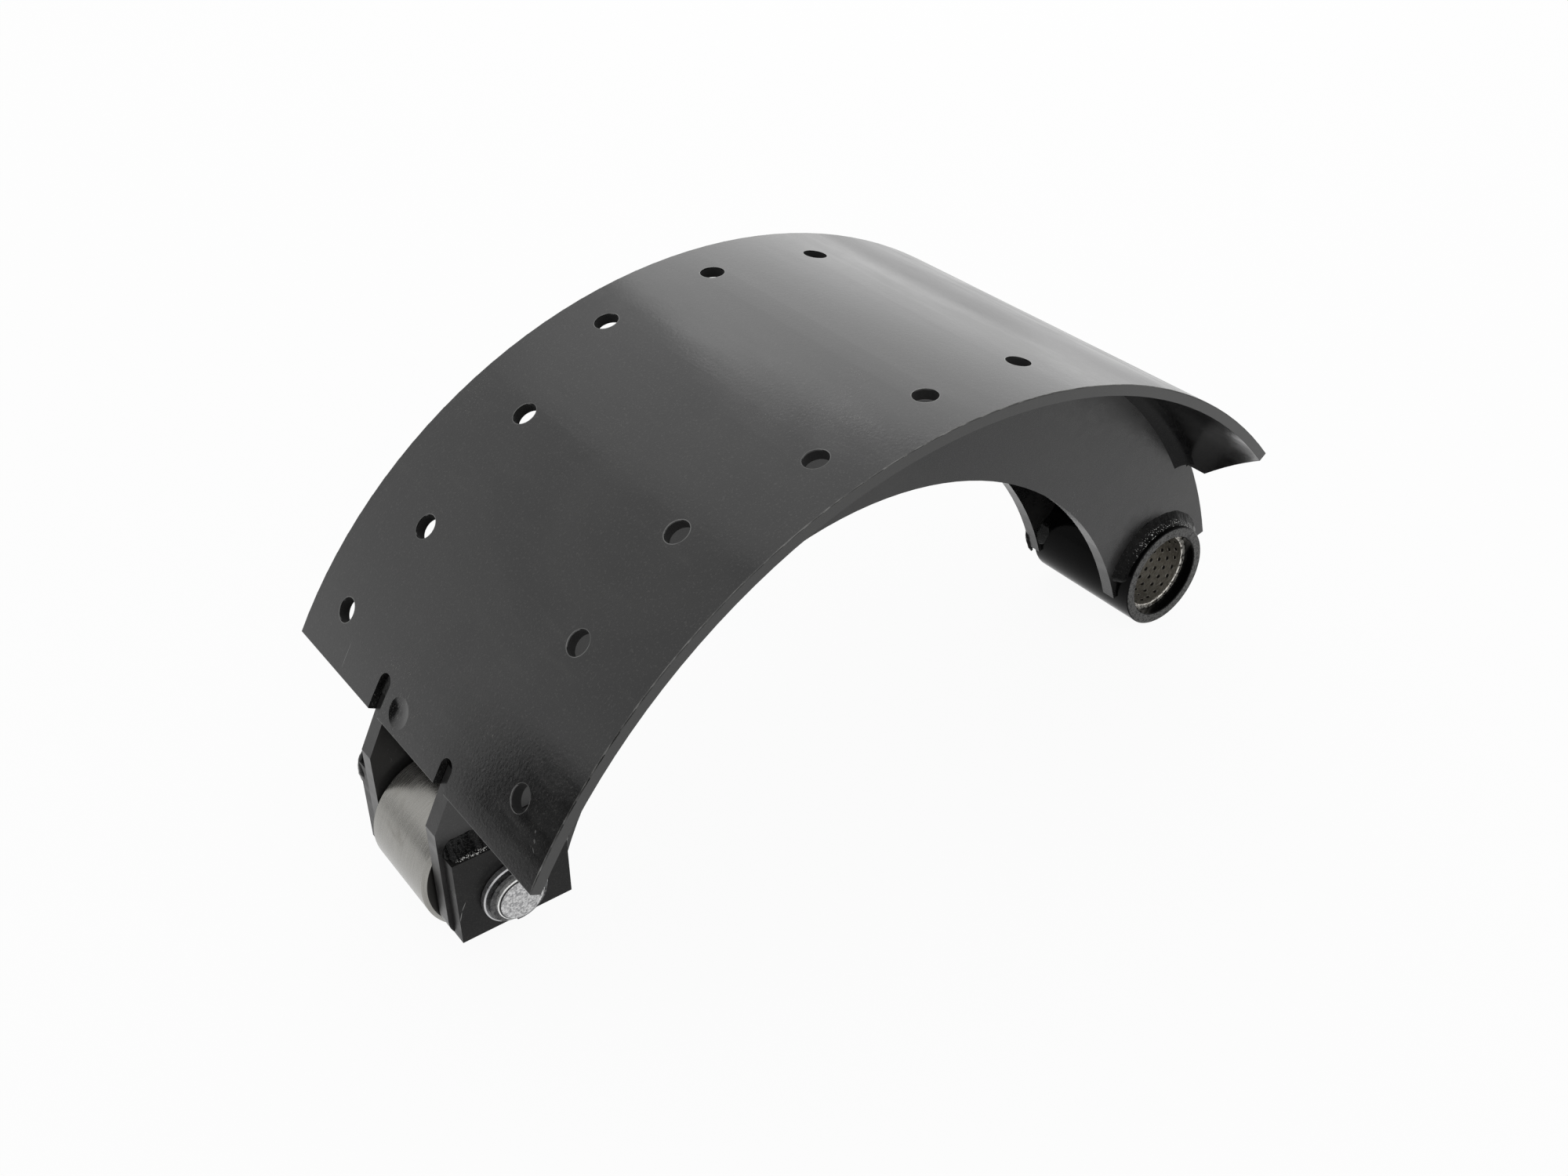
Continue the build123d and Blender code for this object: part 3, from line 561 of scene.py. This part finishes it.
# quads between neighbouring rings, and a fan from a middle point at either end
def skinFaces(rings, sides, first):
    a = np.arange(rings - 1)[:, None] * sides
    b = np.arange(sides)[None, :]
    c = (b + 1) % sides
    quads = np.stack([a + b, a + c, a + sides + c, a + sides + b], -1).reshape(-1, 4) + first
    ends = first + rings * sides
    loop, after = np.arange(sides), (np.arange(sides) + 1) % sides
    start = np.stack([np.full(sides, ends), after + first, loop + first], -1)
    last = first + (rings - 1) * sides
    stop = np.stack([np.full(sides, ends + 1), loop + last, after + last], -1)
    return quads.tolist() + start.tolist() + stop.tolist()


# what all fillet beads share: the mm of path that count as one in the waves, the ripples' pitch along and
# round the face and the share of them each leg takes, how thin an end is, and how many mm a toe dips under
# its plate
beadBase = {"wavePitch": 5.0, "rippleAlong": 1.7, "rippleRound": 1.2, "rippleShare": 0.7, "tip": 0.02,
            "sink": 0.25}


# fillet bead. At each step along the path the face runs from one toe to the other as
# corner + one * a * cos(t)^power + two * b * sin(t)^power, where a power of 2 is a flat face and more is a
# hollow one. The legs a and b swell and shrink with a sum of waves, ripples add to the face, and both ends
# draw in over the taper.
def beadSkin(corner, one, two, settings):
    steps = len(corner)
    length = np.concatenate([[0], np.cumsum(np.linalg.norm(np.diff(corner, axis=0), axis=1))])
    along = length / (beadBase["wavePitch"] * mm)
    fromEnd = np.minimum(length, length[-1] - length) / (settings["taper"] * mm)
    taper = np.clip(fromEnd, beadBase["tip"], 1.0) ** 0.5
    t = np.linspace(0, math.pi / 2, settings["sides"])
    swell = taper * (1 + settings["swell"] * waves(along, np.zeros(steps), settings["seed"]))
    ripple = waves(along[:, None] * beadBase["rippleAlong"], t[None, :] * beadBase["rippleRound"],
                   settings["seed"] + 1)
    face = settings["lumps"] * mm * ripple * (np.sin(2 * t)[None, :] * taper[:, None])
    face *= beadBase["rippleShare"]
    a = settings["legOne"] * mm * swell[:, None] * np.cos(t)[None, :] ** settings["power"] + face
    b = settings["legTwo"] * mm * swell[:, None] * np.sin(t)[None, :] ** settings["power"] + face
    # the last point of each ring lies inside the corner, and the toes dip under their plates
    sink = beadBase["sink"] * mm
    a = np.concatenate([a, np.full((steps, 1), -sink)], 1)
    b = np.concatenate([b, np.full((steps, 1), -sink)], 1)
    b[:, 0] = -sink
    a[:, -2] = -sink
    return corner[:, None, :] + one[:, None, :] * a[..., None] + two[:, None, :] * b[..., None]


# one object from several closed skins, each an array of rings
def buildPiece(name, skins, finish, node, body):
    points, faces = [], []
    for skin in skins:
        first = sum(len(p) for p in points)
        rings, sides = skin.shape[:2]
        faces += skinFaces(rings, sides, first)
        points.append(np.concatenate([skin.reshape(-1, 3), skin[0].mean(0)[None], skin[-1].mean(0)[None]]))
    mesh = bpy.data.meshes.new(name)
    mesh.from_pydata(np.concatenate(points).tolist(), [], faces)
    work = bmesh.new()
    work.from_mesh(mesh)
    bmesh.ops.recalc_face_normals(work, faces=work.faces)
    work.to_mesh(mesh)
    work.free()
    mesh.polygons.foreach_set("use_smooth", [True] * len(mesh.polygons))
    mesh.materials.append(finishes[finish])
    piece = bpy.data.objects.new(name, mesh)
    bpy.context.collection.objects.link(piece)
    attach(piece, body)
    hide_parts(node)


# points evenly from start to end in mm, with the same two leg directions all along
def straightPath(start, end, one, two, steps):
    share = np.linspace(0, 1, steps)[:, None]
    corner = (np.array(start) * (1 - share) + np.array(end) * share) * mm
    return corner, np.tile(one, (steps, 1)).astype(float), np.tile(two, (steps, 1)).astype(float)


# arc round the anchor axis at height y: its angle runs from straight up toward +X, one leg lies along Y
# and the other points away from the axis
def ringPath(settings):
    angle = np.radians(np.linspace(settings["start"], settings["end"], settings["steps"]))
    outward = np.stack([np.sin(angle), np.zeros(settings["steps"]), np.cos(angle)], -1)
    corner = outward * settings["radius"] * mm + np.array([0, settings["y"] * mm, 0])
    return corner, np.tile((0.0, settings["alongY"], 0.0), (settings["steps"], 1)), outward


# shared by the beads, in mm: the webs' outer faces from the middle, and the anchor tube's radius
webFace = 25.2
tubeRadius = 22.5

tubeBeadNear = {"y": -webFace, "radius": tubeRadius, "start": -84.0, "end": 75.5, "alongY": -1.0,
                "legOne": 4.6, "legTwo": 4.6, "power": 2.4, "swell": 0.06, "lumps": 0.14, "taper": 3.0,
                "sides": 12, "steps": 170, "seed": 11}
buildPiece("tubeBeadNear", [beadSkin(*ringPath(tubeBeadNear), tubeBeadNear)], "weldPaint", "weld_tube_near",
           "shoe")

tubeBeadInner = {"y": 19.2, "radius": tubeRadius, "start": -95.0, "end": -60.0, "alongY": -1.0,
                 "legOne": 3.5, "legTwo": 3.5, "power": 2.0, "swell": 0.12, "lumps": 0.2, "taper": 6.0,
                 "sides": 10, "steps": 50, "seed": 17}
buildPiece("tubeBeadInner", [beadSkin(*ringPath(tubeBeadInner), tubeBeadInner)], "beadPaint",
           "weld_tube_inner", "shoe")


# bead that caps the tube's far end
tubeCapFar = {"y": webFace, "outward": 2.2, "inward": 1.8, "radius": 23.0, "half": 3.7, "start": -112.0,
              "end": 75.5, "lumps": 0.125, "wavePitch": 4.0, "waveRound": 1.5, "taper": 16.0, "tip": 0.03,
              "sides": 18, "steps": 190, "seed": 23}


# ring of ovals round the anchor axis: y = middle + cos(t) * reach and
# distance from the axis = radius + half * sin(t), with waves on both and the ends drawn in over the taper
def capSkin(settings):
    angle = np.radians(np.linspace(settings["start"], settings["end"], settings["steps"]))
    t = np.linspace(0, 2 * math.pi, settings["sides"], endpoint=False)
    length = (angle - angle[0]) * settings["radius"]
    fromEnd = np.minimum(length, length[-1] - length) / settings["taper"]
    taper = np.clip(fromEnd, settings["tip"], 1.0)[:, None] ** 0.5
    bulge = 1 + settings["lumps"] * waves(length[:, None] / settings["wavePitch"],
                                          np.cos(t)[None, :] * settings["waveRound"], settings["seed"])
    reach = np.where(np.cos(t) > 0, settings["outward"], settings["inward"])[None, :]
    y = settings["y"] + np.cos(t)[None, :] * reach * taper * bulge
    away = settings["radius"] + np.sin(t)[None, :] * settings["half"] * taper * bulge
    return np.stack([np.sin(angle)[:, None] * away, y, np.cos(angle)[:, None] * away], -1) * mm


buildPiece("tubeCapFar", [capSkin(tubeCapFar)], "weldPaint", "weld_tube_far", "shoe")

# beads along the top and down the end of each doubler, and a lump of spatter on the far one
doublerBeads = {"left": -320.0, "right": -282.0, "top": 20.3, "sideBottom": 3.3, "sideTop": 21.1,
                "farLead": 1.1}
topBead = {"legOne": 5.2, "legTwo": 5.2, "power": 2.2, "swell": 0.07, "lumps": 0.2, "taper": 2.5,
           "sides": 12, "steps": 90, "seed": 31}
sideBead = {"legOne": 4.2, "legTwo": 4.2, "power": 2.1, "swell": 0.08, "lumps": 0.2, "taper": 2.0,
            "sides": 10, "steps": 50, "seed": 37}
spatterLump = {"x": -316.8, "y": 30.9, "z": 15.0, "wide": 4.8, "deep": 5.1, "tall": 8.5, "latitude": 86,
               "levels": 22, "sides": 24, "lumps": 0.1, "most": 1.04, "waveLevel": 2.0, "waveTurn": 1.4,
               "waveCount": 6, "waveFinest": 12.0, "seed": 43}


# ball stretched to wide, deep and tall: rings of latitude from foot to head, each point moved in or out by
# a few waves, and out by no more than most
def lumpSkin(settings):
    limit = settings["latitude"]
    level = np.radians(np.linspace(-limit, limit, settings["levels"]))[:, None]
    turn = np.linspace(0, 2 * math.pi, settings["sides"], endpoint=False)[None, :]
    rise = waves(level * settings["waveLevel"], np.sin(turn) * settings["waveTurn"], settings["seed"],
                 settings["waveCount"], settings["waveFinest"])
    swell = np.minimum(1 + settings["lumps"] * rise, settings["most"])
    x = settings["x"] + settings["wide"] * np.cos(level) * np.cos(turn) * swell
    y = settings["y"] + settings["deep"] * np.cos(level) * np.sin(turn) * swell
    z = settings["z"] + settings["tall"] * np.sin(level) * swell
    return np.stack(np.broadcast_arrays(x, y, z), -1) * mm


# top bead along X and end bead up Z, on the web face at side * webFace and moved forward by lead
def doublerSkins(side, lead):
    d = doublerBeads
    left, right, y = d["left"] - lead, d["right"] - lead, side * webFace
    top = straightPath((left, y, d["top"]), (right, y, d["top"]), (0, side, 0), (0, 0, 1), topBead["steps"])
    end = straightPath((right, y, d["sideBottom"]), (right, y, d["sideTop"]), (0, side, 0), (1, 0, 0),
                       sideBead["steps"])
    return [beadSkin(*top, topBead), beadSkin(*end, sideBead)]


buildPiece("doublerBeadNear", doublerSkins(-1, 0.0), "beadPaint", "weld_doubler_near", "shoe")
farSkins = doublerSkins(1, doublerBeads["farLead"]) + [lumpSkin(spatterLump)]
buildPiece("doublerBeadFar", farSkins, "weldPaint", "weld_doubler_far", "shoe")
print("welds laid")

# soft lamps, in metres and watts, all turned to the same point
lampSettings = {
    "topSoftbox": {"place": (0.85, 1.12, 0.76), "size": (1.3, 1.2), "power": 4.6},
    "feather": {"place": (-0.05, 1.0, 1.35), "size": (1.0, 0.9), "power": 0.9},
    "lowSoftbox": {"place": (1.75, 0.95, 0.16), "size": (0.8, 0.34), "power": 0.3},
    "sideSoftbox": {"place": (-0.3, -1.4, 0.9), "size": (1.0, 0.8), "power": 1.5},
}
aimPoint = (-0.15, 0.0, 0.03)


# rectangular lamp whose -Z points from its place to the aim point
def addLamp(name, settings):
    data = bpy.data.lights.new(name, "AREA")
    data.shape = "RECTANGLE"
    data.size, data.size_y = settings["size"]
    data.energy = settings["power"]
    lamp = bpy.data.objects.new(name, data)
    lamp.location = settings["place"]
    lamp.rotation_euler = (Vector(aimPoint) - Vector(settings["place"])).to_track_quat("-Z", "Y").to_euler()
    lamp.visible_camera = False
    bpy.context.collection.objects.link(lamp)


for name, settings in lampSettings.items():
    addLamp(name, settings)


# 1 for camera, glossy and transmission rays and 0 for the rest: the largest of the three
def seenDirectly(tree):
    path = tree.nodes.new("ShaderNodeLightPath")
    seen = path.outputs["Is Camera Ray"]
    for ray in ("Is Glossy Ray", "Is Transmission Ray"):
        node = tree.nodes.new("ShaderNodeMath")
        node.operation = "MAXIMUM"
        tree.links.new(seen, node.inputs[0])
        tree.links.new(path.outputs[ray], node.inputs[1])
        seen = node.outputs[0]
    return seen


# white surroundings: seen, mirrored and looked through as white, but giving less light than that
worldSettings = {"light": 0.7, "seen": 1.0}
world = bpy.data.worlds.new("studio")
bpy.context.scene.world = world
world.use_nodes = True
tree = world.node_tree
strength = tree.nodes.new("ShaderNodeMapRange")
tree.links.new(seenDirectly(tree), strength.inputs["Value"])
strength.inputs["To Min"].default_value = worldSettings["light"]
strength.inputs["To Max"].default_value = worldSettings["seen"]
tree.links.new(strength.outputs["Result"], tree.nodes["Background"].inputs["Strength"])
tree.nodes["Background"].inputs["Color"].default_value = white


# flat four-cornered sheet of one plain material, staged beside the part
def addSheet(name, corners, settings):
    mesh = bpy.data.meshes.new(name)
    mesh.from_pydata(corners, [], [(0, 1, 2, 3)])
    sheet = bpy.data.objects.new(name, mesh)
    bpy.context.collection.objects.link(sheet)
    material = bpy.data.materials.new(settings["material"])
    material.use_nodes = True
    shader = material.node_tree.nodes["Principled BSDF"]
    shader.inputs["Base Color"].default_value = (*(settings["tone"],) * 3, 1)
    shader.inputs["Roughness"].default_value = settings["rough"]
    mesh.materials.append(material)
    return sheet


# floor: paper that is seen, mirrored and looked through as nearly white, and keeps a faint shadow
floorSettings = {"material": "floorPaper", "half": 6.0, "tone": 0.86, "rough": 0.8, "glow": 0.94}
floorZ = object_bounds()[0][2]
half = floorSettings["half"]
floor = addSheet("floor", [(-half, -half, floorZ), (half, -half, floorZ), (half, half, floorZ),
                           (-half, half, floorZ)], floorSettings)
tree = floor.data.materials[0].node_tree
glow = tree.nodes.new("ShaderNodeEmission")
glow.inputs["Color"].default_value = white
glowing = tree.nodes.new("ShaderNodeMath")
glowing.operation = "MULTIPLY"
glowing.inputs[1].default_value = floorSettings["glow"]
tree.links.new(seenDirectly(tree), glowing.inputs[0])
mix = tree.nodes.new("ShaderNodeMixShader")
tree.links.new(glowing.outputs[0], mix.inputs["Fac"])
tree.links.new(tree.nodes["Principled BSDF"].outputs[0], mix.inputs[1])
tree.links.new(glow.outputs[0], mix.inputs[2])
tree.links.new(mix.outputs[0], tree.nodes["Material Output"].inputs["Surface"])

# dark cloth standing off the roller end, which gives the near corner its black reflection
clothSettings = {"material": "felt", "x": -0.9, "y": (-0.7, 0.55), "height": 0.28, "tone": 0.004,
                 "rough": 0.9}
clothX, clothTop = clothSettings["x"], floorZ + clothSettings["height"]
low, high = clothSettings["y"]
cloth = addSheet("darkCloth", [(clothX, low, floorZ), (clothX, high, floorZ), (clothX, high, clothTop),
                               (clothX, low, clothTop)], clothSettings)
cloth.visible_camera = False
print("studio lit")

bpy.context.scene.view_settings.view_transform = "Standard"
